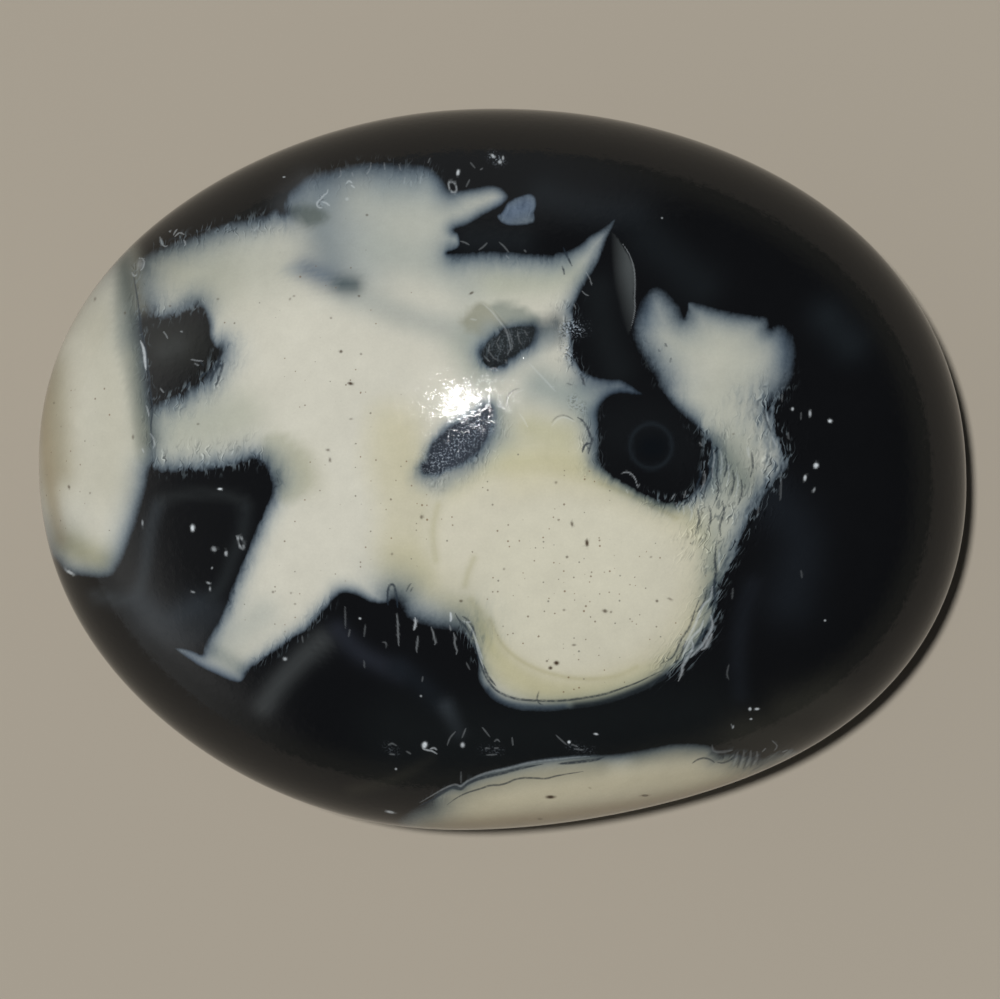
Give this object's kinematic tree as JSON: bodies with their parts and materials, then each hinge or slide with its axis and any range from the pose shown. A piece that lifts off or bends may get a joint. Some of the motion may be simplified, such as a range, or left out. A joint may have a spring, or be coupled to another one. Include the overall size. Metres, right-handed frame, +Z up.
{
  "type": "orca agate palm stone",
  "caption": "Polished oval pebble of black agate with cream and blue-grey patches, shaped to lie in the palm and to rest on its underside.",
  "frame": {"origin": "on the resting flat, under the middle of the outline's box", "axes": "+X along the stone's length, +Y across it, +Z up from the resting flat to the crown"},
  "size_m": [0.0666, 0.0518, 0.028],
  "materials": {
    "polished_agate": "polished to a high gloss, black with cream-white, grey and blue-grey patches"
  },
  "bodies": {
    "root": {"palm_stone": "polished_agate"}
  },
  "joints": []
}
